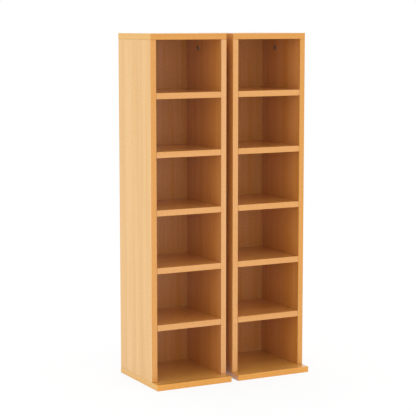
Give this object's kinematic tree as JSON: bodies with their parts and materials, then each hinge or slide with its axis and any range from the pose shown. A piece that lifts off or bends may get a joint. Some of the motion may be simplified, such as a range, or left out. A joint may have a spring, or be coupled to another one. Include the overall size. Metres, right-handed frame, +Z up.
{
  "type": "cd dvd storage tower",
  "caption": "Matching narrow open towers for disc cases, side by side, each a stack of equal bays in beech-faced board on a base board that stands out in front.",
  "frame": {"origin": "on the floor, in the middle of the outline of both towers together", "axes": "+Z up, +X to the right across both towers seen from the front, +Y from the open fronts to the back panels"},
  "size_m": [0.439, 0.226, 0.885],
  "materials": {
    "beech_board": "satin beech print on melamine-faced chipboard",
    "hardboard": "raw pressed fibre outside, beech print inside",
    "dowel_wood": "plain turned beech",
    "plated_steel": "bright zinc plate",
    "zinc_casting": "as die-cast"
  },
  "bodies": {
    "root": {"left_tower_base_board": "beech_board", "left_tower_top_panel": "beech_board", "left_tower_left_side_panel": "beech_board", "left_tower_right_side_panel": "beech_board", "left_tower_shelf_1": "beech_board", "left_tower_shelf_2": "beech_board", "left_tower_shelf_3": "beech_board", "left_tower_shelf_4": "beech_board", "left_tower_shelf_5": "beech_board", "left_tower_back_panel": "hardboard", "left_tower_left_base_screw_1": "plated_steel", "left_tower_left_base_screw_2": "plated_steel", "left_tower_right_base_screw_1": "plated_steel", "left_tower_right_base_screw_2": "plated_steel", "left_tower_left_cam_bolt": "plated_steel", "left_tower_right_cam_bolt": "plated_steel", "left_tower_left_cam_lock": "zinc_casting", "left_tower_right_cam_lock": "zinc_casting", "left_tower_left_dowel": "dowel_wood", "left_tower_right_dowel": "dowel_wood", "left_tower_shelf_1_left_wire": "plated_steel", "left_tower_shelf_1_right_wire": "plated_steel", "left_tower_shelf_2_left_wire": "plated_steel", "left_tower_shelf_2_right_wire": "plated_steel", "left_tower_shelf_3_left_wire": "plated_steel", "left_tower_shelf_3_right_wire": "plated_steel", "left_tower_shelf_4_left_wire": "plated_steel", "left_tower_shelf_4_right_wire": "plated_steel", "left_tower_shelf_5_left_wire": "plated_steel", "left_tower_shelf_5_right_wire": "plated_steel", "right_tower_base_board": "beech_board", "right_tower_top_panel": "beech_board", "right_tower_left_side_panel": "beech_board", "right_tower_right_side_panel": "beech_board", "right_tower_shelf_1": "beech_board", "right_tower_shelf_2": "beech_board", "right_tower_shelf_3": "beech_board", "right_tower_shelf_4": "beech_board", "right_tower_shelf_5": "beech_board", "right_tower_back_panel": "hardboard", "right_tower_left_base_screw_1": "plated_steel", "right_tower_left_base_screw_2": "plated_steel", "right_tower_right_base_screw_1": "plated_steel", "right_tower_right_base_screw_2": "plated_steel", "right_tower_left_cam_bolt": "plated_steel", "right_tower_right_cam_bolt": "plated_steel", "right_tower_left_cam_lock": "zinc_casting", "right_tower_right_cam_lock": "zinc_casting", "right_tower_left_dowel": "dowel_wood", "right_tower_right_dowel": "dowel_wood", "right_tower_shelf_1_left_wire": "plated_steel", "right_tower_shelf_1_right_wire": "plated_steel", "right_tower_shelf_2_left_wire": "plated_steel", "right_tower_shelf_2_right_wire": "plated_steel", "right_tower_shelf_3_left_wire": "plated_steel", "right_tower_shelf_3_right_wire": "plated_steel", "right_tower_shelf_4_left_wire": "plated_steel", "right_tower_shelf_4_right_wire": "plated_steel", "right_tower_shelf_5_left_wire": "plated_steel", "right_tower_shelf_5_right_wire": "plated_steel"}
  },
  "joints": []
}
